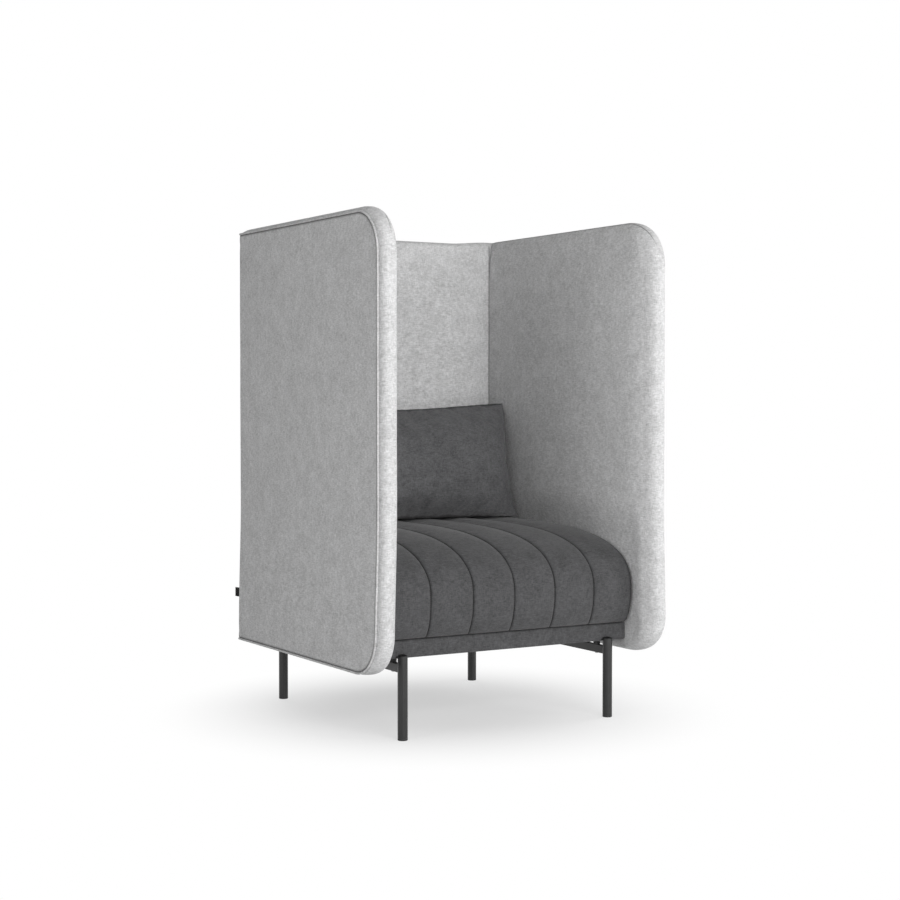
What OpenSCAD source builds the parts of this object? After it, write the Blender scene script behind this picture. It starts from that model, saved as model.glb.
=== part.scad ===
// Lounge chair with a three-sided high padded screen, a channelled seat, a loose back
// cushion and two tubular leg frames. +Z is up, the sitter faces -Y, and the floor is Z 0.

/* [Overall] */
// Width over the outer faces of the two side panels
overall_width = 840; // [740:5:1000]
// Depth from the front roll of the side panels to the rear face of the screen
overall_depth = 820; // [780:5:960]
// Height from the floor to the crown of the side panels
overall_height = 1300; // [1150:5:1450]

/* [Screen] */
// Height of the underside of the screen above the floor
screen_z = 172; // [150:1:188]
// Thickness of a side panel
side_t = 54.5; // [46:0.5:64]
// Thickness of the back panel
back_t = 43; // [38:0.5:56]
// Thickness of the thin pad and cover on the outer faces
outer_pad_t = 8; // [7:0.5:11]
// Thickness of the plywood core boards
core_t = 18; // [12:0.5:22]
// Width of the foam border round the core boards
border_w = 32; // [20:1:45]
// Rise of the rounded border above the seam of a side panel
roll_h = 20; // [12:0.5:26]
// Rise of the rounded border on top of the back panel
back_roll_h = 6.5; // [4:0.5:12]
// Radius of the seam at the top front corner
top_corner_r = 105; // [70:1:150]
// Radius of the seam at the bottom front corner
bottom_corner_r = 100; // [60:1:140]
// Radius of the piping cord in the seams
piping_r = 2.7; // [2:0.1:3.4]
// How far the piping stands out of the outer faces
piping_out = 1.7; // [1:0.1:2]

/* [Seat] */
// Height of the underside of the seat base above the floor
base_z = 198; // [188:1:215]
// Height of the upholstered seat base
base_h = 46; // [34:1:54]
// Width of the timber rails of the seat base
rail_w = 85; // [75:1:100]
// Thickness of the plywood seat deck
deck_t = 12; // [9:0.5:18]
// How far the seat deck laps onto the rails
deck_lap = 20; // [12:1:30]
// Thickness of the cloth under the seat base
dust_cloth_t = 1; // [0.8:0.1:2]
// Height of the seat cushion at its side edges
seat_h = 243; // [200:1:280]
// Rise of the crown of the seat cushion above its side edges
seat_crown_h = 8; // [2:0.5:14]
// How far the front roll of the seat stands in front of the seat base
seat_nose_out = 45; // [25:1:60]
// How far the front of the seat is drawn in below its front roll
seat_tuck = 38; // [15:1:44]
// Height of the fullest line of the front roll above the seat base
seat_nose_h = 87; // [70:1:130]
// Number of sewn strips across the seat
strip_count = 6; // [4:1:8]
// Depth of the sewn channels between the strips
channel_d = 4; // [2:0.5:6]

/* [Back cushion] */
// Gap between the side panels and the corners of the loose back cushion
cushion_side_gap = 7.5; // [3:0.5:40]
// Height of the loose back cushion at its corners
cushion_h = 324; // [260:2:400]
// How far its top seam dips between the corners
cushion_dip = 16; // [4:1:30]
// Bulge of its front face in front of its seam
cushion_front_t = 95; // [60:1:110]
// Distance of its top seam in front of the back panel
cushion_rear_t = 96; // [60:1:120]
// How far its bottom seam stands in front of its top seam
cushion_lean = 55; // [20:1:70]

/* [Legs] */
// Diameter of the leg tubes
leg_d = 25; // [22:0.5:32]
// Wall of the leg tubes
leg_wall = 2; // [1.5:0.1:3]
// Height of the top of the legs above the floor
leg_top_z = 210.5; // [200:0.5:226]
// Distance of the leg centres inside the outer faces of the side panels
leg_side_inset = 114; // [106:1:122]
// Distance of the rear leg centres in front of the rear face of the screen
leg_rear_inset = 35; // [30:1:42]
// Distance of the front leg centres behind the front roll of the side panels
leg_setback = 105; // [95:1:130]
// Clearance between the front legs and the front of the seat base
leg_clear = 0.5; // [0.3:0.1:2]
// Rise of the domed caps of the legs
cap_h = 4; // [2:0.5:6]
// Width of the side bars
bar_w = 15; // [13:0.5:18]
// Height of the side bars
bar_h = 20; // [16:0.5:24]
// Height of the spacers between the side bars and the seat base
spacer_h = 13; // [5:0.5:18]
// Diameter of the spacers
spacer_d = 18; // [16:0.5:22]
// Distance of the end spacers from the leg centres
spacer_inset = 48; // [30:1:80]
// Height of the glide under each leg tube
glide_h = 4; // [3:0.5:6]

/* [Tag] */
// Length of the blank cloth tag behind the screen
tag_l = 32; // [20:1:40]
// Height of the blank cloth tag
tag_h = 25; // [15:1:40]
// Thickness of the folded cloth tag
tag_t = 1.2; // [0.8:0.1:2]
// Height of the lower edge of the tag above the floor
tag_z = 285; // [220:1:600]

/* [Hidden] */
$fn = 64;

// Colours of the light cover, the dark cover, plywood, timber, coated steel, plastic and zinc
light_cloth = [0.66, 0.66, 0.68];
dark_cloth = [0.24, 0.24, 0.25];
ply_tone = [0.72, 0.58, 0.40];
timber_tone = [0.30, 0.30, 0.31];
steel_tone = [0.20, 0.20, 0.21];
plastic_tone = [0.08, 0.08, 0.08];
zinc_tone = [0.62, 0.63, 0.65];

// Overrun of every cut, gap between parts that stay just apart, and looseness of holes
cut_over = 1;
seat_gap = 0.3;
hole_gap = 0.3;
groove_gap = 0.15;
plug_gap = 0.1;

// Foam border under and beside the core boards at the bottom of the screen
border_low = 12;

// Faces of the screen
half_w = overall_width / 2;
side_in_x = half_w - side_t;
front_y = -(overall_depth + tag_l) / 2;
rear_y = front_y + overall_depth;
slab_rear_y = rear_y - outer_pad_t;
back_in_y = rear_y - back_t;
seam_front_y = front_y + roll_h;
seam_top_z = overall_height - roll_h;
core_out_x = half_w - outer_pad_t;
core_in_x = core_out_x - core_t;
back_core_y = slab_rear_y - core_t;
back_core_x = side_in_x - border_low;

// Seam piping
piping_x = half_w + piping_out - piping_r;
piping_y = rear_y + piping_out - piping_r;
piping_turn_r = piping_y - slab_rear_y;
groove_r = piping_r + groove_gap;

// Leg frames
leg_x = half_w - leg_side_inset;
leg_front_y = front_y + leg_setback;
leg_rear_y = rear_y - leg_rear_inset;
leg_in_r = leg_d / 2 - leg_wall;
cap_seam_z = leg_top_z - cap_h;
plug_h = 12;
glide_edge_share = 0.25;
bar_top_z = base_z - spacer_h;
bar_z = bar_top_z - bar_h;
spacer_ys = [leg_front_y + spacer_inset, (leg_front_y + leg_rear_y) / 2, leg_rear_y - spacer_inset];

// Seat base
base_top_z = base_z + base_h;
base_front_y = leg_front_y + leg_d / 2 + leg_clear;
base_rear_y = back_in_y - seat_gap;
base_x = side_in_x - seat_gap;
rail_in_x = base_x - rail_w;
rail_in_front_y = base_front_y + rail_w;
rail_in_rear_y = base_rear_y - rail_w;
deck_x = rail_in_x + deck_lap;
deck_front_y = rail_in_front_y - deck_lap;
deck_rear_y = rail_in_rear_y + deck_lap;

// Screws up through the side bars into the seat base
screw_r = 3;
screw_head_r = 5.2;
screw_head_h = 3.3;
screw_crown_share = 0.7;
screw_bite = 30;

// Bolts that hold the screen to the seat base and its panels to each other
bolt_r = 4;
bolt_head_r = 6.5;
bolt_head_h = 5;
bolt_bite = 14;
bolt_rail_share = 0.65;
bolt_z = base_z + (base_h - deck_t) * bolt_rail_share;
bolt_inset = 60;
bolt_side_ys = [rail_in_front_y + bolt_inset, rail_in_rear_y - bolt_inset];
bolt_rear_x = rail_in_x - bolt_inset;
corner_bolt_y = slab_rear_y - core_t / 2;
corner_bolt_shares = [0.2, 0.5, 0.8];

// Angle of a quarter turn
quarter = 90;

// Seat cushion: the nose is its fullest line, the run is the way from there to the full height
seat_side_gap = 1.5;
seat_x = side_in_x - seat_side_gap;
nose_y = base_front_y - seat_nose_out;
seat_run = 450;
seat_round = 2.7;
seat_low_steps = 4;
seat_high_steps = 10;
strip_steps = 6;

// Loose back cushion
cushion_x = side_in_x - cushion_side_gap;
cushion_z = base_top_z + seat_h + seat_crown_h * (1 - 1 / pow(strip_count, 2)) + seat_gap;
cushion_rear_y = back_in_y - seat_gap;
cushion_round = 2.6;
cushion_end_round = 3;
cushion_edge_share = 0.03;
cushion_steps = 9;
cushion_sides = 32;

// Circular segment that stands on a chord of width w and rises to h
module roll_section(w, h) {
    r = (w * w / 4 + h * h) / (2 * h);
    intersection() {
        translate([w / 2, h - r]) circle(r);
        square([w, h]);
    }
}

// Removes what lies outside a rounded corner whose tip is at the origin
module corner_cut(r) {
    difference() {
        translate([-cut_over, -cut_over]) square(r + cut_over);
        translate([r, r]) circle(r);
    }
}

// Extrudes an outline drawn in Y and Z from x0 towards +X
module along_x(x0, t) {
    translate([x0, 0, 0]) rotate([90, 0, 90]) linear_extrude(t) children();
}

// Side elevation inside the seam of a side panel, drawn in by inset, and by low at the bottom
module side_outline(inset, low, end_y) {
    y0 = seam_front_y + inset;
    z0 = screen_z + low;
    z1 = seam_top_z - inset;
    difference() {
        translate([y0, z0]) square([end_y - y0, z1 - z0]);
        translate([y0, z0]) corner_cut(bottom_corner_r - inset);
        translate([y0, z1]) mirror([0, 1]) corner_cut(top_corner_r - inset);
    }
}

// Rounded border that turns a front corner of the right side panel, from angle a0
module corner_roll(y, z, r, a0) {
    translate([side_in_x, y, z]) rotate([90, 0, 90]) rotate([0, 0, a0])
        rotate_extrude(angle = 90) translate([r, 0])
            rotate([0, 0, -90]) translate([-side_t, 0]) roll_section(side_t, roll_h);
}

// Whole right side panel with its rounded border on the front and top
module side_body() {
    top_y = seam_front_y + top_corner_r;
    top_z = seam_top_z - top_corner_r;
    low_y = seam_front_y + bottom_corner_r;
    low_z = screen_z + bottom_corner_r;
    along_x(side_in_x, side_t) side_outline(0, 0, rear_y);
    intersection() {
        translate([side_in_x, rear_y, seam_top_z]) rotate([90, 0, 0])
            linear_extrude(rear_y - top_y) roll_section(side_t, roll_h);
        along_x(side_in_x - cut_over, side_t + 2 * cut_over) {
            translate([top_y - cut_over, seam_top_z])
                square([rear_y - side_t / 2 - top_y + cut_over, roll_h]);
            translate([rear_y - side_t, seam_top_z]) roll_section(side_t, roll_h);
        }
    }
    corner_roll(top_y, top_z, top_corner_r, 90);
    translate([side_in_x, seam_front_y, low_z]) linear_extrude(top_z - low_z)
        mirror([0, 1]) roll_section(side_t, roll_h);
    intersection() {
        corner_roll(low_y, low_z, bottom_corner_r, 180);
        translate([side_in_x, front_y, screen_z]) cube([side_t, overall_depth, overall_height]);
    }
}

// Whole back panel out to x on both sides
module back_body(x) {
    along_x(-x, 2 * x) {
        translate([back_in_y, screen_z]) square([back_t, seam_top_z - screen_z]);
        translate([back_in_y, seam_top_z]) roll_section(back_t, back_roll_h);
    }
}

// Cord of radius r along the seam round the right side panel
module side_cord(r) {
    top_y = seam_front_y + top_corner_r;
    top_z = seam_top_z - top_corner_r;
    low_y = seam_front_y + bottom_corner_r;
    low_z = screen_z + bottom_corner_r;
    translate([piping_x, slab_rear_y, seam_top_z]) rotate([90, 0, 0])
        cylinder(r = r, h = slab_rear_y - top_y);
    translate([piping_x, top_y, top_z]) rotate([90, 0, 90]) rotate([0, 0, 90])
        rotate_extrude(angle = 90) translate([top_corner_r, 0]) circle(r);
    translate([piping_x, seam_front_y, low_z]) cylinder(r = r, h = top_z - low_z);
    translate([piping_x, low_y, low_z]) rotate([90, 0, 90]) rotate([0, 0, 180])
        rotate_extrude(angle = 90) translate([bottom_corner_r, 0]) circle(r);
    translate([piping_x, slab_rear_y, screen_z]) rotate([90, 0, 0])
        cylinder(r = r, h = slab_rear_y - low_y);
}

// Cord of radius r across the rear face and round both rear corners, at height z
module rear_cord(r, z) {
    turn_x = piping_x - piping_turn_r;
    translate([-turn_x, piping_y, z]) rotate([0, 90, 0]) cylinder(r = r, h = 2 * turn_x);
    for (side = [0, 1]) mirror([side, 0, 0])
        translate([turn_x, slab_rear_y, z])
            rotate_extrude(angle = 90) translate([piping_turn_r, 0]) circle(r);
}

function corner_bolt_z(share) = screen_z + share * (seam_top_z - screen_z);

// Every bolt of the screen, or its hole when grown is set
module screen_bolt_set(grown) {
    g = grown ? hole_gap : 0;
    for (side = [0, 1]) mirror([side, 0, 0]) {
        for (y = bolt_side_ys) translate([rail_in_x, y, bolt_z]) rotate([0, 90, 0])
            cylinder(r = bolt_r + g, h = core_in_x + bolt_bite - rail_in_x + g);
        translate([bolt_rear_x, rail_in_rear_y, bolt_z]) rotate([-90, 0, 0])
            cylinder(r = bolt_r + g, h = back_core_y + bolt_bite - rail_in_rear_y + g);
        for (share = corner_bolt_shares)
            translate([core_out_x + g, corner_bolt_y, corner_bolt_z(share)]) rotate([0, -90, 0])
                cylinder(r = bolt_r + g, h = core_out_x - back_core_x + rail_w + 2 * g);
    }
}

// Closed skin through rings of points, which run from -X to +X
module loft(rings) {
    m = len(rings[0]);
    n = len(rings);
    points = [for (ring = rings) each ring];
    skin = [for (i = [0:n - 2], j = [0:m - 1]) let (k = (j + 1) % m)
        each [[i * m + j, (i + 1) * m + k, i * m + k],
              [i * m + j, (i + 1) * m + j, (i + 1) * m + k]]];
    start = [[for (j = [0:m - 1]) j]];
    finish = [[for (j = [m - 1:-1:0]) (n - 1) * m + j]];
    polyhedron(points, concat(start, skin, finish));
}

// Plywood boards inside the screen
module side_core_right() {
    color(ply_tone) difference() {
        along_x(core_in_x, core_t) side_outline(border_w, border_low, slab_rear_y - border_low);
        screen_bolt_set(true);
    }
}

module side_core_left() {
    mirror([1, 0, 0]) side_core_right();
}

module back_core() {
    color(ply_tone) difference() {
        translate([-back_core_x, back_core_y, screen_z + border_low])
            cube([2 * back_core_x, core_t, seam_top_z - border_w - screen_z - border_low]);
        screen_bolt_set(true);
        leg_pockets();
    }
}

// Foam and light cover inside the screen and round its edges
module side_pad_right() {
    color(light_cloth) difference() {
        side_body();
        translate([side_in_x - cut_over, slab_rear_y, 0])
            cube([side_t + 2 * cut_over, outer_pad_t + cut_over, overall_height + cut_over]);
        along_x(core_out_x, outer_pad_t + cut_over) side_outline(0, 0, rear_y);
        along_x(core_in_x, core_t + cut_over)
            side_outline(border_w, border_low, slab_rear_y - border_low);
        side_cord(groove_r);
        screen_bolt_set(true);
    }
}

module side_pad_left() {
    mirror([1, 0, 0]) side_pad_right();
}

module back_pad() {
    color(light_cloth) difference() {
        intersection() {
            back_body(side_in_x);
            translate([-side_in_x, back_in_y, 0])
                cube([2 * side_in_x, slab_rear_y - back_in_y, overall_height]);
        }
        translate([-back_core_x, back_core_y, screen_z + border_low])
            cube([2 * back_core_x, core_t + cut_over, seam_top_z - border_w - screen_z - border_low]);
        screen_bolt_set(true);
        leg_pockets();
    }
}

// Thin pads and light cover on the outer faces
module outer_pad_right() {
    color(light_cloth) difference() {
        along_x(core_out_x, outer_pad_t) side_outline(0, 0, slab_rear_y);
        side_cord(groove_r);
    }
}

module outer_pad_left() {
    mirror([1, 0, 0]) outer_pad_right();
}

module outer_pad_back() {
    color(light_cloth) difference() {
        intersection() {
            union() {
                side_body();
                mirror([1, 0, 0]) side_body();
                back_body(core_out_x);
            }
            linear_extrude(overall_height) difference() {
                translate([-half_w, slab_rear_y]) square([overall_width, outer_pad_t]);
                for (side = [0, 1]) mirror([side, 0])
                    translate([half_w, rear_y]) mirror([1, 0]) mirror([0, 1])
                        corner_cut(outer_pad_t);
            }
        }
        rear_cord(groove_r, seam_top_z);
        rear_cord(groove_r, screen_z);
        tag_slot();
    }
}

// Piping sewn into the seams round the outer faces
module piping_right() {
    color(light_cloth) side_cord(piping_r);
}

module piping_left() {
    mirror([1, 0, 0]) piping_right();
}

module piping_back() {
    color(light_cloth) {
        rear_cord(piping_r, seam_top_z);
        rear_cord(piping_r, screen_z);
    }
}

// Space of the deck, the frame screws and the screen bolts in the rails
module rail_cuts() {
    translate([-deck_x, deck_front_y, base_top_z - deck_t])
        cube([2 * deck_x, deck_rear_y - deck_front_y, deck_t + cut_over]);
    for (side = [-1, 1], y = spacer_ys) translate([side * leg_x, y, base_z - cut_over])
        cylinder(r = screw_r + plug_gap, h = screw_bite + cut_over + hole_gap);
    screen_bolt_set(true);
}

// Pockets in the seat base and the back panel for the rear legs
module leg_pockets() {
    for (x = [-leg_x, leg_x]) translate([x, leg_rear_y, 0])
        cylinder(r = leg_d / 2 + leg_clear, h = leg_top_z + leg_clear);
}

// Upholstered timber rails of the seat base
module rail_front() {
    color(dark_cloth) difference() {
        translate([-base_x, base_front_y, base_z]) cube([2 * base_x, rail_w, base_h]);
        rail_cuts();
    }
}

module rail_rear() {
    color(dark_cloth) difference() {
        translate([-base_x, rail_in_rear_y, base_z]) cube([2 * base_x, rail_w, base_h]);
        rail_cuts();
        leg_pockets();
    }
}

module rail_right() {
    color(timber_tone) difference() {
        translate([rail_in_x, rail_in_front_y, base_z])
            cube([rail_w, rail_in_rear_y - rail_in_front_y, base_h]);
        rail_cuts();
    }
}

module rail_left() {
    mirror([1, 0, 0]) rail_right();
}

// Plywood panel let into the top of the rails
module seat_deck() {
    color(ply_tone) translate([-deck_x, deck_front_y, base_top_z - deck_t])
        cube([2 * deck_x, deck_rear_y - deck_front_y, deck_t]);
}

// Thin cloth stapled under the rails between the side bars
module dust_cloth() {
    lap = deck_lap / 2;
    color(plastic_tone) translate([-rail_in_x - lap, rail_in_front_y - lap, base_z - dust_cloth_t])
        cube([2 * (rail_in_x + lap), rail_in_rear_y - rail_in_front_y + 2 * lap, dust_cloth_t]);
}

// Outline of the seat in Y and Z: the drawn-in front, the full front roll, the top and the rear
function seat_low(a) = [nose_y + seat_tuck * (1 - cos(a)), seat_nose_h * (1 + sin(a))];
function seat_high(b) = [nose_y + seat_run * (1 - pow(cos(b), 2 / seat_round)),
    seat_nose_h + (seat_h - seat_nose_h) * pow(sin(b), 2 / seat_round)];
seat_outline = concat(
    [for (i = [0:seat_low_steps]) seat_low(quarter * (i / seat_low_steps - 1))],
    [for (i = [1:seat_high_steps]) seat_high(quarter * i / seat_high_steps)],
    [[base_rear_y, seat_h], [base_rear_y, 0]]);

// Growth of the outline at x, from the crown and from the puffed strip between two channels
function strip_place(x) = (x + seat_x) * strip_count / (2 * seat_x);
function strip_puff(f) = 4 * (f - floor(f)) * (1 - f + floor(f));
function seat_growth(x) = 1 + seat_crown_h / seat_h * (1 - pow(x / seat_x, 2))
    - channel_d / seat_h * (1 - strip_puff(strip_place(x)));
function seat_point(x, p) = let (mid_y = nose_y + seat_run, k = seat_growth(x))
    [x, p[0] < mid_y ? mid_y + (p[0] - mid_y) * (1 + (k - 1) / 2) : p[0], base_top_z + p[1] * k];

module seat_cushion() {
    steps = strip_count * strip_steps;
    color(dark_cloth) loft([for (i = [0:steps]) let (x = seat_x * (2 * i / steps - 1))
        [for (p = seat_outline) seat_point(x, p)]]);
}

// Back cushion: q runs from -1 to 1 across it, v from its bottom seam to its top seam, and w
// from the front face to the rear face, which is pressed flat against the back panel
function bent(c) = sign(c) * pow(abs(c), 2 / cushion_round);
function seam_y(v) = cushion_rear_y - cushion_rear_t - cushion_lean * (1 - v) / 2;
function cushion_y(v, w) = seam_y(v) + w * (w < 0 ? cushion_front_t : cushion_rear_y - seam_y(v));
function cushion_swell(q) = cushion_edge_share
    + (1 - cushion_edge_share) * pow(1 - pow(abs(q), cushion_end_round), 0.5);
function cushion_ring(q) = [for (j = [0:cushion_sides - 1])
    let (a = 360 * j / cushion_sides, v = bent(sin(a)), w = bent(cos(a)) * cushion_swell(q))
    [q * cushion_x, cushion_y(v, w),
        cushion_z + (v + 1) / 2 * (cushion_h - cushion_dip * (1 - q * q))]];

module back_cushion() {
    color(dark_cloth) loft([for (i = [-cushion_steps:cushion_steps])
        cushion_ring(sin(quarter * i / cushion_steps))]);
}

// Round tube of a leg, open at both ends
module leg(x, y) {
    color(steel_tone) translate([x, y, glide_h]) difference() {
        cylinder(r = leg_d / 2, h = cap_seam_z - glide_h);
        translate([0, 0, -cut_over])
            cylinder(r = leg_in_r, h = cap_seam_z - glide_h + 2 * cut_over);
    }
}

module leg_front_left() {
    leg(-leg_x, leg_front_y);
}

module leg_front_right() {
    leg(leg_x, leg_front_y);
}

module leg_rear_left() {
    leg(-leg_x, leg_rear_y);
}

module leg_rear_right() {
    leg(leg_x, leg_rear_y);
}

// Places its children at the centre of each leg
module at_legs() {
    for (x = [-leg_x, leg_x], y = [leg_front_y, leg_rear_y]) translate([x, y, 0]) children();
}

// Domed caps with a plug in the top of each tube
module leg_caps() {
    r = leg_d / 2;
    ball_r = (r * r + cap_h * cap_h) / (2 * cap_h);
    color(steel_tone) at_legs() {
        translate([0, 0, cap_seam_z - plug_h]) cylinder(r = leg_in_r - plug_gap, h = plug_h);
        translate([0, 0, cap_seam_z]) intersection() {
            cylinder(r = r, h = cap_h);
            translate([0, 0, cap_h - ball_r]) sphere(ball_r);
        }
    }
}

// Plastic glides with a plug in the bottom of each tube
module glides() {
    edge = glide_h * glide_edge_share;
    color(plastic_tone) at_legs() {
        cylinder(r1 = leg_d / 2 - edge, r2 = leg_d / 2, h = edge);
        translate([0, 0, edge]) cylinder(r = leg_d / 2, h = glide_h - edge);
        translate([0, 0, glide_h]) cylinder(r = leg_in_r - plug_gap, h = plug_h);
    }
}

// Flat bar between the legs of one side, coped round both tubes
module side_bar_right() {
    color(steel_tone) difference() {
        translate([leg_x - bar_w / 2, leg_front_y, bar_z]) cube([bar_w, leg_rear_y - leg_front_y, bar_h]);
        for (y = [leg_front_y, leg_rear_y]) translate([leg_x, y, 0])
            cylinder(r = leg_d / 2, h = overall_height);
        for (y = spacer_ys) translate([leg_x, y, bar_z - cut_over])
            cylinder(r = screw_r + hole_gap, h = bar_h + 2 * cut_over);
    }
}

module side_bar_left() {
    mirror([1, 0, 0]) side_bar_right();
}

// Round spacers between the side bars and the seat base
module spacers() {
    color(plastic_tone) for (side = [-1, 1], y = spacer_ys)
        translate([side * leg_x, y, bar_top_z]) difference() {
            cylinder(r = spacer_d / 2, h = spacer_h);
            translate([0, 0, -cut_over])
                cylinder(r = screw_r + hole_gap, h = spacer_h + 2 * cut_over);
        }
}

// Button-head screws up through the side bars
module frame_screws() {
    color(zinc_tone) for (side = [-1, 1], y = spacer_ys)
        translate([side * leg_x, y, bar_z - screw_head_h]) {
            cylinder(r1 = screw_head_r * screw_crown_share, r2 = screw_head_r, h = screw_head_h);
            translate([0, 0, screw_head_h])
                cylinder(r = screw_r, h = bar_h + spacer_h + screw_bite);
        }
}

// Bolts from the seat base into the screen, and from the side panels into the back panel
module screen_bolts() {
    color(zinc_tone) {
        screen_bolt_set(false);
        for (side = [0, 1]) mirror([side, 0, 0]) {
            for (y = bolt_side_ys) translate([rail_in_x - bolt_head_h, y, bolt_z])
                rotate([0, 90, 0]) cylinder(r = bolt_head_r, h = bolt_head_h);
            translate([bolt_rear_x, rail_in_rear_y - bolt_head_h, bolt_z])
                rotate([-90, 0, 0]) cylinder(r = bolt_head_r, h = bolt_head_h);
        }
    }
}

// Blank cloth tag sewn into the left rear seam, and the slit that it passes through
module tag_solid(gap) {
    translate([-core_out_x - outer_pad_t / 2 - gap, slab_rear_y, tag_z - gap])
        cube([tag_t + 2 * gap, outer_pad_t + tag_l, tag_h + 2 * gap]);
}

module tag_slot() {
    tag_solid(plug_gap);
}

module rear_tag() {
    color(plastic_tone) tag_solid(0);
}

side_core_left();
side_core_right();
back_core();
side_pad_left();
side_pad_right();
back_pad();
outer_pad_left();
outer_pad_right();
outer_pad_back();
piping_left();
piping_right();
piping_back();
rail_front();
rail_rear();
rail_left();
rail_right();
seat_deck();
dust_cloth();
seat_cushion();
back_cushion();
leg_front_left();
leg_front_right();
leg_rear_left();
leg_rear_right();
leg_caps();
glides();
side_bar_left();
side_bar_right();
spacers();
frame_screws();
screen_bolts();
rear_tag();
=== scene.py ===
# Lounge chair with a three-sided padded screen, a channelled seat, a loose back cushion and two
# black steel leg frames. Metres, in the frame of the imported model: +Z up, the sitter faces -Y.
import math
import bmesh
import bpy
import numpy as np
from mathutils.noise import noise
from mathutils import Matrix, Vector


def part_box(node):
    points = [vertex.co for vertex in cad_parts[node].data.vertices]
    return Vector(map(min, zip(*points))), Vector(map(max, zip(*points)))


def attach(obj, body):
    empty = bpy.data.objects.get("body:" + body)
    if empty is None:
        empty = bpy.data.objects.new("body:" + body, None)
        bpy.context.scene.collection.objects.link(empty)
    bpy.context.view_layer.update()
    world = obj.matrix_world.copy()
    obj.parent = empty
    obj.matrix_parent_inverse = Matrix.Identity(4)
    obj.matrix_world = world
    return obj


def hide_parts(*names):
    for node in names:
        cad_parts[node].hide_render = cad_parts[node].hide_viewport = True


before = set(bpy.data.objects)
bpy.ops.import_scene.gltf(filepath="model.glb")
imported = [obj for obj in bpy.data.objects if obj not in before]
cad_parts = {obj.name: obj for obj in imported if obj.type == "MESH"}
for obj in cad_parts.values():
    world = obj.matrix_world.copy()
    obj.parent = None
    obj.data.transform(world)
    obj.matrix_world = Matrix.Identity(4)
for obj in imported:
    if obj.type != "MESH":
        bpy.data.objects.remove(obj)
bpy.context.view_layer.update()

# Viewpoint: the camera of the photograph, a little above the middle of the screen, 4.6 m from the
# middle of the chair and to the left of its front
view_yaw, view_pitch = 30.59, 1.771
lens_data = bpy.data.cameras.new("viewpoint")
lens_data.sensor_width = 36.0
lens_data.lens = 69.16
lens_data.shift_x = 0.0016
camera = bpy.data.objects.new("viewpoint", lens_data)
camera.location = (-2.341, -3.983, 0.837)
camera.rotation_euler = (math.radians(90 - view_pitch), 0, math.radians(-view_yaw))
bpy.context.collection.objects.link(camera)
bpy.context.scene.camera = camera
bpy.context.scene.view_settings.view_transform = "Standard"


# Studio floor: white, and it keeps the soft shadow of the chair close to it. Every material of
# the file is written with Wire and Finish, as arithmetic on the outputs of nodes
class Wire:
    """One output of a node, with the arithmetic that the finishes use."""

    def __init__(self, finish, socket):
        self.finish, self.socket = finish, socket

    def maths(self, operation, a, b):
        return self.finish.node("ShaderNodeMath", {"operation": operation}, {0: a, 1: b})

    def __add__(self, other):
        return self.maths("ADD", self, other)

    def __radd__(self, other):
        return self.maths("ADD", other, self)

    def __sub__(self, other):
        return self.maths("SUBTRACT", self, other)

    def __rsub__(self, other):
        return self.maths("SUBTRACT", other, self)

    def __mul__(self, other):
        return self.maths("MULTIPLY", self, other)

    def __rmul__(self, other):
        return self.maths("MULTIPLY", other, self)


class Finish:
    """A node material that is put together node by node."""

    def __init__(self, name, tree=None):
        if tree is None:
            self.material = bpy.data.materials.new(name)
            self.material.use_nodes = True
            tree = self.material.node_tree
        tree.nodes.clear()
        self.tree = tree

    def node(self, kind, settings=None, inputs=None, out=0):
        made = self.tree.nodes.new(kind)
        for key, value in (settings or {}).items():
            setattr(made, key, value)
        for key, value in (inputs or {}).items():
            if isinstance(value, Wire):
                self.tree.links.new(value.socket, made.inputs[key])
            else:
                made.inputs[key].default_value = value
        return Wire(self, made.outputs[out]) if made.outputs else None

    def place(self, stretch=None):
        """Object coordinates in metres, stretched if told."""
        spot = self.node("ShaderNodeTexCoord", out=3)
        if stretch:
            spot = self.node("ShaderNodeVectorMath", {"operation": "MULTIPLY"},
                             {0: spot, 1: stretch})
        return spot

    def speckle(self, place, scale, detail, rough):
        return self.node("ShaderNodeTexNoise", None,
                         {"Vector": place, "Scale": scale, "Detail": detail, "Roughness": rough})

    def ramp(self, value, low, high):
        """0 below low, 1 above high, smooth between."""
        return self.node("ShaderNodeMapRange", {"interpolation_type": "SMOOTHSTEP"},
                         {0: value, 1: low, 2: high, 3: 0.0, 4: 1.0})

    def blend(self, factor, a, b):
        return self.node("ShaderNodeMix", {"data_type": "RGBA"}, {0: factor, 6: a, 7: b}, 2)

    def surface(self, settings, bump, distance, strength):
        """The finished material, with bump as its fine relief."""
        relief = self.node("ShaderNodeBump", None, {
            "Height": bump, "Distance": distance, "Strength": strength})
        shader = self.node("ShaderNodeBsdfPrincipled", None, {**settings, "Normal": relief})
        self.node("ShaderNodeOutputMaterial", None, {"Surface": shader})
        return self.material


def grey(level, blue=0.0):
    """A grey of that linear level, with a little more blue if told."""
    return (level, level, level * (1 + blue), 1.0)


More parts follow.
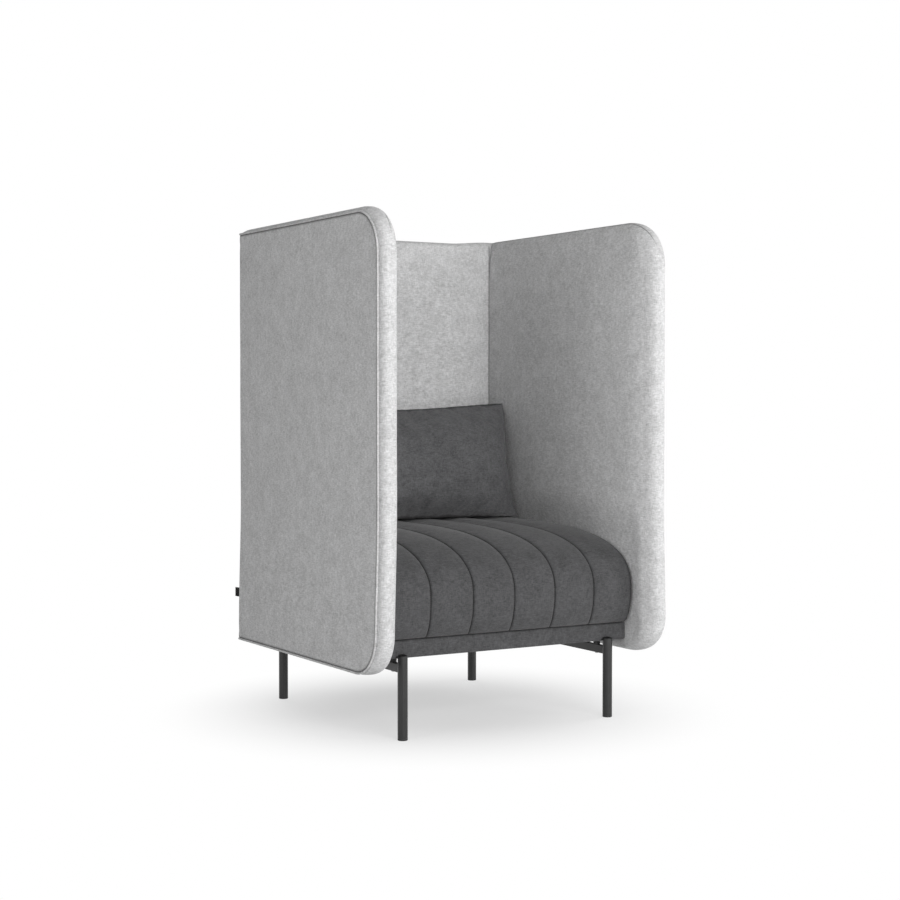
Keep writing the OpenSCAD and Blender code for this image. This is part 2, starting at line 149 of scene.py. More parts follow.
floor_half = 20
shadow_near, shadow_far, shadow_glow = 0.22, 0.80, 0.46
floor_mesh = bpy.data.meshes.new("floor")
floor_mesh.from_pydata([(-floor_half, -floor_half, 0), (floor_half, -floor_half, 0),
                        (floor_half, floor_half, 0), (-floor_half, floor_half, 0)], [],
                       [(0, 1, 2, 3)])
floor = bpy.data.objects.new("floor", floor_mesh)
bpy.context.collection.objects.link(floor)
white_floor = Finish("white_floor")
seen = white_floor.node("ShaderNodeLightPath", out=0)
mirrored = white_floor.node("ShaderNodeLightPath", out=3)
spread = white_floor.node("ShaderNodeVectorMath", {"operation": "LENGTH"},
                          {0: white_floor.place()}, 1)
far_share = white_floor.ramp(spread, shadow_near, shadow_far)
glow_share = (seen + mirrored) * (shadow_glow + far_share * (1 - shadow_glow))
plain = white_floor.node("ShaderNodeBsdfDiffuse", None, {"Color": grey(0.86)})
glow = white_floor.node("ShaderNodeEmission", None, {"Color": grey(1.0), "Strength": 1.0})
white_floor.node("ShaderNodeOutputMaterial", None, {"Surface": white_floor.node(
    "ShaderNodeMixShader", None, {0: glow_share, 1: plain, 2: glow})})
floor_mesh.materials.append(white_floor.material)

# Studio light: an even surround, which is white where the camera sees it, and large soft boxes in
# front of the chair, beside it and behind it
world = bpy.data.worlds.new("surround")
world.use_nodes = True
bpy.context.scene.world = world
sky = Finish("surround", world.node_tree)
dim = sky.node("ShaderNodeBackground", None, {"Color": grey(1.0), "Strength": 0.17})
bright = sky.node("ShaderNodeBackground", None, {"Color": grey(1.0), "Strength": 1.0})
sky.node("ShaderNodeOutputWorld", None, {"Surface": sky.node("ShaderNodeMixShader", None, {
    0: sky.node("ShaderNodeLightPath", out=0), 1: dim, 2: bright})})


def soft_box(name, place, aim, width, height, watts):
    """Rectangular lamp at place that faces aim."""
    lamp = bpy.data.lights.new(name, "AREA")
    lamp.shape = "RECTANGLE"
    lamp.size, lamp.size_y, lamp.energy = width, height, watts
    box = bpy.data.objects.new(name, lamp)
    box.location = place
    way = np.array(aim, float) - np.array(place, float)
    box.rotation_euler = (math.atan2(math.hypot(way[0], way[1]), -way[2]), 0,
                          math.atan2(way[1], way[0]) - math.pi / 2)
    bpy.context.collection.objects.link(box)


middle, front_half = (0, 0, 0.7), (0, -0.2, 0.7)
soft_box("front_box", (-0.45, -5.0, 1.9), middle, 3.0, 2.6, 178)
soft_box("right_front_box", (3.2, -3.8, 1.35), middle, 1.3, 2.6, 60)
soft_box("right_box", (4.6, -0.4, 1.9), middle, 2.6, 2.6, 78)
soft_box("left_box", (-4.6, -1.2, 1.5), front_half, 1.6, 2.4, 13)
soft_box("left_front_box", (-4.3, -2.2, 1.5), front_half, 1.6, 2.4, 33)
soft_box("rear_box", (0.8, 5.0, 2.2), middle, 3.0, 2.6, 70)

# Inner covers of the side panels: pale grey melange wool felt over foam. The foam border swells
# out of the piped seam, rolls over the top and front edges and runs into the inner face, and the
# cover has one thin sewn line on the crest of that border
def wool(name, dark, light, seam_tone, contrast, sheen, relief_depth, relief_strength):
    """Brushed woven wool: fibres, grain, yarns both ways, patches and clouds, turned to the seam
    tone where the seam attribute of the mesh marks a sewn line or painted shade, in grooves,
    creases and where parts meet. contrast is the share of each layer."""
    cover = Finish(name)
    spot = cover.place()
    fibre = cover.speckle(spot, 1100.0, 1.0, 0.5)
    grain = cover.speckle(spot, 330.0, 1.0, 0.5)
    upright = cover.speckle(cover.place((1.0, 1.0, 0.17)), 480.0, 1.0, 0.5)
    level = cover.speckle(cover.place((0.17, 0.17, 1.0)), 520.0, 1.0, 0.5)
    patch = cover.speckle(spot, 105.0, 2.0, 0.6)
    cloud = cover.speckle(spot, 22.0, 3.0, 0.55)
    shade = 0.5
    for layer, share in zip((fibre, grain, upright, level, patch, cloud), contrast):
        shade = (layer - 0.5) * share + shade
    seam = cover.node("ShaderNodeAttribute", {"attribute_name": "seam"}, out=2)
    colour = cover.blend(seam, cover.blend(shade, dark, light), seam_tone)
    relief = fibre * 0.5 + upright * 0.7 + level * 0.7 + grain * 0.4
    return cover.surface({"Base Color": colour, "Roughness": 0.95, "Sheen Weight": sheen,
                          "Sheen Roughness": 0.5, "Specular IOR Level": 0.2},
                         relief, relief_depth, relief_strength)


light_felt = wool("light_felt", grey(0.34, 0.004), grey(0.78, 0.004), grey(0.10),
                  (0.32, 0.48, 0.50, 0.85, 0.62, 0.46), 0.2, 0.0005, 0.35)


def make_piece(name, points, faces, material, body="chair", seam=None, weld=True):
    """A smooth mesh piece at the origin that rides on a body of the model. The seam attribute
    given is how dark each point is painted: the thread of a sewn line, and painted shade in
    grooves, creases and where parts meet."""
    mesh = bpy.data.meshes.new(name)
    mesh.from_pydata([tuple(map(float, p)) for p in points], [], faces)
    if seam is not None:
        mark = mesh.attributes.new("seam", "FLOAT", "POINT")
        mark.data.foreach_set("value", np.asarray(seam, dtype=np.float32).ravel())
    if weld:
        skin = bmesh.new()
        skin.from_mesh(mesh)
        bmesh.ops.remove_doubles(skin, verts=skin.verts, dist=0.00002)
        skin.to_mesh(mesh)
        skin.free()
    mesh.polygons.foreach_set("use_smooth", [True] * len(mesh.polygons))
    mesh.materials.append(material)
    piece = bpy.data.objects.new(name, mesh)
    bpy.context.collection.objects.link(piece)
    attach(piece, body)
    return piece


def lattice(rows, columns, start=0, close_rows=False, close_columns=False, flip=False):
    """Faces of a grid of points that are numbered row by row from start."""
    faces = []
    for r in range(rows if close_rows else rows - 1):
        for c in range(columns if close_columns else columns - 1):
            a = start + r * columns + c
            b = start + r * columns + (c + 1) % columns
            d = start + ((r + 1) % rows) * columns + c
            e = start + ((r + 1) % rows) * columns + (c + 1) % columns
            faces.append((a, d, e, b) if flip else (a, b, e, d))
    return faces


def step(value, low, high):
    """Smooth 0 to 1 from low to high."""
    t = np.clip((np.asarray(value, float) - low) / (high - low), 0, 1)
    return t * t * (3 - 2 * t)


def swell(points, size, amount, seed):
    """Slow unevenness of foam under cloth at each point."""
    return np.array([noise((p[0] / size + seed, p[1] / size, p[2] / size))
                     for p in points]) * amount


half_width, side_in = 0.420, 0.3655
seam_front, seam_top, low_edge = -0.406, 1.280, 0.172
slab_rear, rear_face, back_in = 0.386, 0.394, 0.351
top_turn, low_turn = 0.105, 0.100
side_thick = half_width - side_in
splay_out, splay_from, splay_run = 0.0072, 0.56, 0.36


def splay(z):
    """The side panels stand a little wider apart towards their lower edge."""
    return splay_out * step(splay_from - np.asarray(z, float), 0.0, splay_run)


def border(rise, reach, thick, share, groove_depth, crest_gap, dark_width, counts):
    """Section of a foam border: depth from the outer face, height above the seam, how dark the
    sewn line on the crest makes each point (its thread and painted shade of its groove), and how
    dark the painted shade of the recess beside the piping makes the start."""
    first_n, second_n = counts
    start, start_dip, nose, fine_n = 0.0032, 0.0012, thick * share, 300
    full, round_over = 0.86, 0.97
    # painted shade: the start of the border, in the recess beside the piping, is painted dark
    groove_width, seam_shade, seam_width = 0.0007, 0.75, 0.0070
    drawn_in = (start + 0.002, -0.006)
    by_crest = np.array([-0.004, -0.0022, -0.0012, -0.0005, 0.0, 0.0005, 0.0012, 0.0022, 0.004])
    near = by_crest[-1]
    t = np.linspace(0, math.pi / 2, fine_n)
    first = np.stack([start + (nose - start) * (1 - np.cos(t) ** full),
                      -start_dip + (rise + start_dip) * np.sin(t) ** full], 1)
    second = np.stack([nose + (thick - nose) * np.sin(t) ** round_over,
                       -reach + (rise + reach) * np.cos(t) ** round_over], 1)[1:]
    line = np.concatenate([[drawn_in], first, second])
    far = np.concatenate([[0], np.cumsum(np.hypot(*np.diff(line, axis=0).T))])
    crest = far[fine_n] + crest_gap
    marks = np.concatenate([np.linspace(0, 1, first_n)[:-1] * (crest - near), crest + by_crest,
                            crest + near + (far[-1] - crest - near)
                            * np.linspace(0, 1, second_n)[1:]])
    spots = np.stack([np.interp(marks, far, line[:, k]) for k in (0, 1)], 1)
    slope = np.gradient(spots, axis=0)
    slope /= np.linalg.norm(slope, axis=1)[:, None] + 1e-12
    groove = np.exp(-((marks - crest) / groove_width) ** 2)
    spots = spots + np.stack([slope[:, 1], -slope[:, 0]], 1) * (groove * groove_depth)[:, None]
    return (spots, np.exp(-((marks - crest) / dark_width) ** 2),
            seam_shade * np.exp(-(marks / seam_width) ** 4))


def side_seam_line(counts):
    """Seam line of a side panel in Y and Z, from the bottom rear forward, up and back, with its
    outward direction. The points crowd towards the rear, by the power crowd."""
    straight, turn, front = counts
    crowd = 1.5
    rear = rear_face - 0.0006
    low_y, low_z = seam_front + low_turn, low_edge + low_turn
    top_y, top_z = seam_front + top_turn, seam_top - top_turn
    spots, ways = [], []
    for i in range(straight):
        spots.append((rear + (low_y - rear) * (i / straight) ** crowd, low_edge))
        ways.append((0.0, -1.0))
    for i in range(turn):
        a = math.pi / 2 * i / turn
        spots.append((low_y - low_turn * math.sin(a), low_z - low_turn * math.cos(a)))
        ways.append((-math.sin(a), -math.cos(a)))
    for i in range(front):
        spots.append((seam_front, low_z + (top_z - low_z) * i / front))
        ways.append((-1.0, 0.0))
    for i in range(turn):
        a = math.pi / 2 * i / turn
        spots.append((top_y - top_turn * math.cos(a), top_z + top_turn * math.sin(a)))
        ways.append((-math.cos(a), math.sin(a)))
    for i in range(straight + 1):
        spots.append((rear + (top_y - rear) * (1 - i / straight) ** crowd, seam_top))
        ways.append((0.0, 1.0))
    return np.array(spots), np.array(ways)


def coons(bottom, top, left, right):
    """Grid between four boundary lines; bottom and top run from left to right."""
    a = np.linspace(0, 1, len(bottom))[None, :, None]
    b = np.linspace(0, 1, len(left))[:, None, None]
    bottom, top = bottom[None], top[None]
    left, right = left[:, None], right[:, None]
    corners = ((1 - a) * (1 - b) * bottom[:, :1] + a * (1 - b) * bottom[:, -1:]
               + (1 - a) * b * top[:, :1] + a * b * top[:, -1:])
    return (1 - b) * bottom + b * top + (1 - a) * left + a * right - corners


crown_y = [-0.406, -0.394, -0.382, -0.370, -0.355, -0.340, -0.32, -0.30, -0.275, -0.25, -0.20,
           -0.16, -0.12, -0.04, 0.04, 0.12, 0.20, 0.24, 0.28, 0.33, 0.36]
crown_out = [0.0, 0.0010, 0.0040, 0.0064, 0.0087, 0.0105, 0.0123, 0.0137, 0.0151, 0.0162, 0.0177,
             0.0184, 0.0188, 0.0191, 0.0187, 0.0173, 0.0148, 0.0131, 0.0111, 0.0079, 0.0058]
crown_stop, crown_fade = 0.012, 0.050
pressed_y, pressed_z = (-0.40, -0.345), (0.46, 0.58)
filled_y, filled_z, fill = (-0.40, -0.35), (0.20, 0.30), 0.0012


def crown(y, z):
    """How far the foam of an inner side face stands out towards the sitter. It thins towards the
    top edge and where the seat cushion presses on it."""
    along = np.interp(y, crown_y, crown_out)
    from_top = 1 - np.exp(-np.clip(seam_top - crown_stop - z, 0, None) / crown_fade)
    over_seat = 1 - (1 - step(z, *pressed_z)) * step(y, *pressed_y)
    return along * from_top * over_seat + fill * step(y, *filled_y) * step(z, *filled_z)


side_counts = (72, 18, 104)
top_rise, front_rise, low_rise = 0.0126, 0.0236, 0.0045
top_reach, front_reach, low_reach = 0.018, 0.022, 0.022
side_share, front_share_less = 0.56, 0.10
side_gap, top_gap_more = 0.0045, 0.0070
line_width, top_line_more = 0.0007, 0.0006
rear_taper, groove_deep, foam_lumps, sewn_from = 0.055, 0.0011, 0.0009, 0.6
# The rear corner creases are real dips, and their darkness is painted shade
crease_width, crease_deep, crease_painted_shade = 0.0030, 0.0030, 0.45
rows, darks = [], []
for spot, way in zip(*side_seam_line(side_counts)):
    up, ahead, down = max(way[1], 0.0) ** 2, way[0] ** 2, max(-way[1], 0.0) ** 2
    rise = top_rise * up + front_rise * ahead + low_rise * down
    reach = top_reach * up + front_reach * ahead + low_reach * down
    if ahead == 0:
        to_rear = float(np.clip(1 - (rear_face - spot[0]) / rear_taper, 0, 1))
        rise *= math.sqrt(1 - to_rear ** 2.4)
    held = 1.0 if ahead == 0 and way[1] > 0 else float(step(way[1], 0.25, 0.75))
    section, groove, recess_painted_shade = border(rise, reach, side_thick, side_share - front_share_less * ahead,
                                   groove_deep * held, side_gap + top_gap_more * up,
                                   line_width + top_line_more * up, (17, 27))
    rows.append(np.stack([half_width - section[:, 0], spot[0] + way[0] * section[:, 1],
                          spot[1] + way[1] * section[:, 1]], 1))
    darks.append(np.maximum(groove * held, recess_painted_shade))
rows, darks = np.array(rows), np.array(darks)
crest_at = int(np.argmax(darks.max(0)))
edge_n = rows.shape[1]
turn_low = side_counts[0] + side_counts[1] // 2
turn_top = side_counts[0] + side_counts[1] + side_counts[2] + side_counts[1] // 2
inner_line = rows[:, -1, 1:]
bottom, front = inner_line[:turn_low + 1][::-1], inner_line[turn_low:turn_top + 1]
top = inner_line[turn_top:]
rear = np.stack([np.full(len(front), bottom[-1, 0]),
                 np.linspace(bottom[-1, 1], top[-1, 1], len(front))], 1)
patch = coons(bottom, top, front, rear)
patch_points = np.concatenate([np.full(patch.shape[:2] + (1,), side_in), patch], 2)
side_points = np.concatenate([rows.reshape(-1, 3), patch_points.reshape(-1, 3)])
inward = np.clip((half_width - side_points[:, 0]) / side_thick, 0, 1)
side_points[:, 0] -= crown(side_points[:, 1], side_points[:, 2]) * inward ** 3
side_points[:, 0] += swell(side_points, 0.16, foam_lumps, 3.0) * inward ** 2
side_points[:, 0] += splay(side_points[:, 2])
tucked = np.exp(-((side_points[:, 1] - back_in) / crease_width) ** 2) * step(inward, 0.8, 1.0)
side_points[:, 0] += crease_deep * tucked
side_dark = np.concatenate([darks.ravel(), np.zeros(patch.shape[0] * patch.shape[1])])
# painted shade darkens the rear corner crease of the side cover
side_dark = np.maximum(side_dark, crease_painted_shade * tucked)
border_points = side_points[:len(rows) * edge_n].reshape(rows.shape)
crest_line = border_points[darks[:, crest_at] > sewn_from, crest_at]
crest_lines = [crest_line, crest_line * np.array([-1.0, 1.0, 1.0])]
side_faces = lattice(len(rows), edge_n, flip=True)
side_faces += lattice(patch.shape[0], patch.shape[1], rows.shape[0] * edge_n, flip=True)
for side, sign in (("right", 1.0), ("left", -1.0)):
    inner_cover = make_piece(f"{side}_inner_cover", side_points * np.array([sign, 1.0, 1.0]),
                             side_faces if sign > 0 else [f[::-1] for f in side_faces],
                             light_felt, seam=side_dark)
    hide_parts(f"side_pad_{side}")

# Inner cover of the back panel: the same felt over foam, with a lower crown than the side panels,
# which it meets in a smooth rise towards both corners. It is sewn to the piped seam at the top and
# drawn under the board at the bottom
back_thick = rear_face - back_in
corner_x = 0.3618
middle_rise, corner_rise, rise_x = 0.0037, 0.0076, (0.235, 0.366)
back_reach, back_share, back_gap, back_line = 0.016, 0.44, 0.0085, 0.0010
back_crown, crown_x, crown_from_z, crown_to_z = 0.005, (0.20, 0.35), (0.46, 0.62), (1.14, 1.28)
hem_y, hem_z = rear_face - 0.0040, low_edge - 0.0010
down_n, under_n, sewn_x = 110, 6, 0.385
back_x = np.concatenate([np.linspace(0, 0.34, 69), np.linspace(0.3415, 0.375, 24),
                         np.linspace(0.379, 0.401, 6)])
back_x = np.concatenate([-back_x[:0:-1], back_x])
rows, darks = [], []
for x in back_x:
    rise = middle_rise + corner_rise * float(step(abs(x), *rise_x))
    section, groove, recess_painted_shade = border(rise, back_reach, back_thick, back_share, groove_deep,
                                   back_gap, back_line, (12, 20))
    y, z = rear_face - section[:, 0], seam_top + section[:, 1]
    down = z[-1] + (low_edge - z[-1]) * np.linspace(0, 1, down_n + 1)[1:]
    y, z = np.append(y, np.full(down_n, back_in)), np.append(z, down)
    under = back_in + (hem_y - back_in) * np.linspace(0, 1, under_n + 1)[1:]
    y, z = np.append(y, under), np.append(z, np.full(under_n, hem_z))
    rows.append(np.stack([np.full(len(y), x), y, z], 1))
    darks.append(np.append(np.maximum(groove, recess_painted_shade), np.zeros(down_n + under_n)))
rows = np.array(rows)
crest_lines.append(rows[np.abs(back_x) < sewn_x, int(np.argmax(darks[0]))])
back_points = rows.reshape(-1, 3)
inward = step(rear_face - back_points[:, 1], 0.02, back_thick)
back_points[:, 1] -= (back_crown * inward * step(back_points[:, 2], *crown_from_z)
                      * (1 - step(back_points[:, 2], *crown_to_z))
                      * (1 - step(np.abs(back_points[:, 0]), *crown_x)))
back_points[:, 1] += swell(back_points, 0.17, foam_lumps, 9.0) * inward
to_corner = (np.abs(back_points[:, 0]) - corner_x) / crease_width
tucked = np.exp(-to_corner ** 2) * step(inward, 0.8, 1.0)
back_points[:, 1] += crease_deep * tucked
# painted shade darkens the corner creases, beside the dark sewn line and the painted shade by the
# piping
back_dark = np.maximum(np.array(darks).ravel(), crease_painted_shade * tucked)
back_cover = make_piece("back_inner_cover", back_points,
                        lattice(rows.shape[0], rows.shape[1]), light_felt,
                        seam=back_dark)
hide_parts("back_pad")

# Outer cover: one cloth of the light wool felt from the front of the left side, round the rear, to
# the front of the right side, over thin foam; its edge is drawn into the piped seam and painted
# dark there as shade
corner_r, shell_lumps = 0.008, 0.0006
turn_x, turn_y, edge_fade = (0.411, 0.4185), (0.38, 0.392), (0.009, 0.03)
rear_flat = half_width - corner_r
corner_run = corner_r * math.pi / 2
half_run = rear_flat + corner_run + (slab_rear - seam_front)


def wrap(run, z, out):
    """Place on the outside of the screen: run along it from the middle of the rear, height z, and
    distance out of the face."""
    run, z, out = np.broadcast_arrays(np.asarray(run, float), z, out)
    side, s = np.sign(run), np.abs(run)
    a = np.clip((s - rear_flat) / corner_r, 0, math.pi / 2)
    x = np.where(s < rear_flat, s, rear_flat + (corner_r + out) * np.sin(a))
    y = np.where(s < rear_flat, rear_face + out, slab_rear + (corner_r + out) * np.cos(a))
    far = s > rear_flat + corner_run
    x = np.where(far, half_width + out, x)
    y = np.where(far, slab_rear - (s - rear_flat - corner_run), y)
    x = x + splay(z) * np.clip(s / rear_flat, 0, 1)
    return np.stack([x * side, y, z], -1)


def shell_outline(inset, counts):
    """Edge of the unrolled outer cover, anticlockwise from the bottom left."""
    along, turn, high = counts
    spots = []
    right, top, low = half_run - inset, seam_top - inset, low_edge + inset
    low_r, top_r = low_turn - inset, top_turn - inset

    def half_turn(centre_x, centre_z, radius, begin):
        for i in range(turn):
            a = math.radians(begin + 45 * i / turn)
            spots.append((centre_x + radius * math.cos(a), centre_z + radius * math.sin(a)))

    def straight(x0, z0, x1, z1, count):
        for i in range(count):
            spots.append((x0 + (x1 - x0) * i / count, z0 + (z1 - z0) * i / count))

    half_turn(low_r - right, low + low_r, low_r, 225)
    straight(low_r - right, low, right - low_r, low, along)
    half_turn(right - low_r, low + low_r, low_r, 270)
    half_turn(right - low_r, low + low_r, low_r, 315)
    straight(right, low + low_r, right, top - top_r, high)
    half_turn(right - top_r, top - top_r, top_r, 0)
    half_turn(right - top_r, top - top_r, top_r, 45)
    straight(right - top_r, top, top_r - right, top, along)
    half_turn(top_r - right, top - top_r, top_r, 90)
    half_turn(top_r - right, top - top_r, top_r, 135)
    straight(-right, top - top_r, -right, low + low_r, high)
    half_turn(low_r - right, low + low_r, low_r, 180)
    return np.array(spots)


shell_counts = (286, 10, 100)
edge_steps = [(0.0030, -0.0062), (0.0020, -0.0036), (0.0024, -0.0020), (0.0038, -0.0009),
              (0.0062, -0.0003), (0.0095, 0.0)]
# painted shade: the loops of the edge that are drawn into the seam beside the piping are painted
# dark
edge_painted_shade = [1.0, 1.0, 1.0, 1.0, 0.45, 0.0]
loops = []
for inset, out in edge_steps:
    line = shell_outline(inset, shell_counts)
    loops.append(wrap(line[:, 0], line[:, 1], out))
loop_n = len(loops[0])
shell_faces = lattice(len(loops), loop_n, close_columns=True, flip=True)
long_n, high_n = shell_counts[0] + 2 * shell_counts[1], shell_counts[2] + 2 * shell_counts[1]
bottom, right = line[:long_n + 1], line[long_n:long_n + high_n + 1]
top = line[long_n + high_n:2 * long_n + high_n + 1][::-1]
left = np.concatenate([line[2 * long_n + high_n:], line[:1]])[::-1]
flat = coons(bottom, top, left, right)
sheet_points = wrap(flat[..., 0], flat[..., 1], 0.0)
shell_faces += lattice(sheet_points.shape[0], sheet_points.shape[1], len(loops) * loop_n,
                       flip=True)
sheet_points = sheet_points.reshape(-1, 3)
uneven = swell(sheet_points, 0.15, shell_lumps, 5.0)
on_side = step(np.abs(sheet_points[:, 0]), *turn_x)
edge_gap = np.minimum(np.minimum(seam_top - sheet_points[:, 2], sheet_points[:, 2] - low_edge),
                      sheet_points[:, 1] - seam_front)
uneven *= step(edge_gap, *edge_fade)
sheet_points[:, 0] += np.sign(sheet_points[:, 0]) * uneven * on_side
sheet_points[:, 1] += uneven * (1 - on_side) * step(sheet_points[:, 1], *turn_y)
outer_dark = np.concatenate([np.repeat(edge_painted_shade, loop_n),
                             np.zeros(len(sheet_points))])
outer_cover = make_piece("outer_cover", np.concatenate([np.concatenate(loops), sheet_points]),
                         shell_faces, light_felt, seam=outer_dark)
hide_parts("outer_pad_left", "outer_pad_right", "outer_pad_back")

# Piping: cord covered with the light felt, sewn into the seam all round, between the outer cover
# and the inner covers
cord_r, cord_sides, cord_sunk = 0.0027, 10, 0.0010
cord_line = shell_outline(0.0, (900, 36, 340))
cord_path = wrap(cord_line[:, 0], cord_line[:, 1], -cord_sunk)
ahead = np.roll(cord_path, -1, 0) - np.roll(cord_path, 1, 0)
ahead /= np.linalg.norm(ahead, axis=1)[:, None]
outward = wrap(cord_line[:, 0], cord_line[:, 1], 0.0) - cord_path
across = np.cross(ahead, outward)
across /= np.linalg.norm(across, axis=1)[:, None]
outward = np.cross(across, ahead)
turns = np.linspace(0, 2 * math.pi, cord_sides, endpoint=False)
cord_points = (cord_path[:, None] + cord_r * (np.cos(turns)[None, :, None] * outward[:, None]
                                              + np.sin(turns)[None, :, None] * across[:, None]))
piping = make_piece("seam_piping", cord_points.reshape(-1, 3),
                    lattice(len(cord_path), cord_sides, close_rows=True, close_columns=True),
                    light_felt)
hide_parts("piping_left", "piping_right", "piping_back")

# Seat base: four timber rails, wrapped in charcoal wool felt as one flat band and stapled from
# inside; the seat cushion lies on it
dark_contrast = (0.38, 0.45, 0.58, 0.75, 0.68, 0.60)
dark_felt = wool("dark_felt", grey(0.035, 0.03), grey(0.106, 0.03), grey(0.006), dark_contrast,
                 0.15, 0.0006, 0.6)
base_out, base_front, base_rear = 0.3712, -0.308, 0.3507
base_low, base_high, rail, band_r = 0.198, 0.2436, 0.085, 0.004
across_pitch, along_pitch, edge_steps_n, band_lumps = 0.008, 0.010, 5, 0.0008
section = []
for deep, z, begin in ((band_r, base_low + band_r, 180), (rail - band_r, base_low + band_r, 270),
                       (rail - band_r, base_high - band_r, 0), (band_r, base_high - band_r, 90)):
    for i in range(edge_steps_n + 1):
        a = math.radians(begin + 90 * i / edge_steps_n)
        section.append((deep + band_r * math.cos(a), z + band_r * math.sin(a)))
section = np.concatenate([np.linspace(a, b, max(1, round(math.dist(a, b) / across_pitch)),
                                      endpoint=False)
                          for a, b in zip(section, section[1:] + section[:1])])
corners = [(-base_out, base_front), (base_out, base_front), (base_out, base_rear),
           (-base_out, base_rear)]
rows = []
for (x0, y0), (x1, y1) in zip(corners, corners[1:] + corners[:1]):
    length = math.dist((x0, y0), (x1, y1))
    dx, dy = (x1 - x0) / length, (y1 - y0) / length
    for s in np.linspace(0, length, round(length / along_pitch) + 1):
        keep = np.minimum(np.maximum(s, section[:, 0]), length - section[:, 0])
        rows.append(np.stack([x0 + dx * keep - dy * section[:, 0],
                              y0 + dy * keep + dx * section[:, 0], section[:, 1]], 1))
band_points = np.array(rows).reshape(-1, 3)
band_points[:, 1] += np.where(band_points[:, 1] < base_front + 0.002,
                              swell(band_points, 0.05, band_lumps, 2.0), 0)
base_band = make_piece("base_band", band_points,
                       lattice(len(rows), len(section), close_rows=True, close_columns=True),
                       dark_felt)
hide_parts("rail_front", "rail_rear", "rail_left", "rail_right")


# Seat cushion: foam block with a round front, under a cover of charcoal wool felt that is sewn
# into six strips. The cloth between the seams is blown up by a cloth simulation and keeps its
# small puckers
def settle(piece, held, pressure, slack, cap, tension, bending):
    """Cloth simulation of a stuffed cover. held are the points that stay, slack is how much
    longer the cloth is than its start, and no point ends further than cap from its start."""
    scene, frames = bpy.context.scene, 20
    count = len(piece.data.vertices)
    begin = np.empty(count * 3)
    piece.data.vertices.foreach_get("co", begin)
    begin = begin.reshape(-1, 3)
    piece.vertex_groups.new(name="held").add([int(i) for i in held], 1.0, "REPLACE")
    cloth = piece.modifiers.new("cloth", "CLOTH")
    rules = cloth.settings
    rules.quality = 6
    rules.mass = 0.3
    rules.tension_stiffness = rules.compression_stiffness = tension
    rules.shear_stiffness = tension / 3
    rules.bending_stiffness = bending
    rules.tension_damping = rules.compression_damping = 10.0
    rules.air_damping = 2.0
    rules.use_pressure = True
    rules.uniform_pressure_force = pressure
    rules.shrink_min = -slack
    rules.effector_weights.gravity = 0.0
    rules.vertex_group_mass = "held"
    cloth.collision_settings.use_collision = False
    cloth.point_cache.frame_start, cloth.point_cache.frame_end = 1, frames
    for shot in range(1, frames + 1):
        scene.frame_set(shot)
    stuffed = piece.evaluated_get(bpy.context.evaluated_depsgraph_get()).data
    end = np.empty(count * 3)
    stuffed.vertices.foreach_get("co", end)
    piece.modifiers.remove(cloth)
    piece.vertex_groups.clear()
    scene.frame_set(1)
    move = end.reshape(-1, 3) - begin
    length = np.linalg.norm(move, axis=1)[:, None] + 1e-9
    return begin + move * np.minimum(1.0, cap / length)


def keep_shape(piece, points):
    """Moves the points of the mesh to the given places."""
    piece.data.vertices.foreach_set("co", np.asarray(points, dtype=np.float32).ravel())
    piece.data.update()


def refine(piece):
    """One level of subdivision on the finished cloth."""
    finer = piece.modifiers.new("finer", "SUBSURF")
    finer.levels = finer.render_levels = 1


seat_half, seat_base = 0.3634, 0.2443
nose_y, nose_h, seat_h, seat_rear = -0.353, 0.087, 0.243, 0.3502
tuck, seat_run, seat_square = 0.038, 0.450, 2.7
seat_dome, hem_deep, hem_reach = 0.004, 0.0045, 0.0035
inner_seam, rim_seam = (0.0045, 0.0020, 0.0024), (0.0035, 0.0040, 0.0018)
# How dark the cover is painted near its seams: along the channel seams, the sewn line and painted
# shade of the valley; along both outer edges, painted shade where the seat meets the side panels
channel_seam_and_shade, rim_painted_shade, tone_reach = (0.95, 0.55, 0.12, 0.0), (1.0, 1.0, 0.85, 0.35), 0.0085
wander, wander_pitch = 0.0011, 0.06
thread_lift, side_painted_shade, side_layers, strips = 0.0009, 0.9, 10, 6
strip = 2 * seat_half / strips
t = np.radians(np.linspace(-90, 0, 30))
profile = [np.stack([nose_y + tuck * (1 - np.cos(t)), nose_h * (1 + np.sin(t))], 1)]
t = np.linspace(0, math.pi / 2, 90)[1:]
profile.append(np.stack([nose_y + seat_run * (1 - np.cos(t) ** (2 / seat_square)),
                         nose_h + (seat_h - nose_h) * np.sin(t) ** (2 / seat_square)], 1))
profile = np.concatenate(profile + [[(seat_rear, seat_h)]])
far = np.concatenate([[0], np.cumsum(np.hypot(*np.diff(profile, axis=0).T))])
at = np.concatenate([[0, 0.0015, 0.004, 0.008], np.linspace(0.015, far[-1], 116)])
profile = np.stack([np.interp(at, far, profile[:, k]) for k in (0, 1)], 1)
slope = np.gradient(profile, axis=0)
slope /= np.linalg.norm(slope, axis=1)[:, None]
lift = np.stack([-slope[:, 1], slope[:, 0]], 1)
drawn_strip = 0.1211
near = np.array([0.0, 0.0009, 0.0032, 0.007, 0.012, 0.018, 0.026, 0.035, 0.045])
near = near * strip / drawn_strip
columns = []
for k in range(strips):
    left_edge = -seat_half + k * strip
    columns += [(left_edge + d, k, d) for d in near]
    columns += [(left_edge + strip / 2, k, strip / 2)]
    columns += [(left_edge + strip - d, k + 1, d) for d in near[::-1][:-1]]
columns.append((seat_half, strips, 0.0))
rows, darks, held = [], [], []
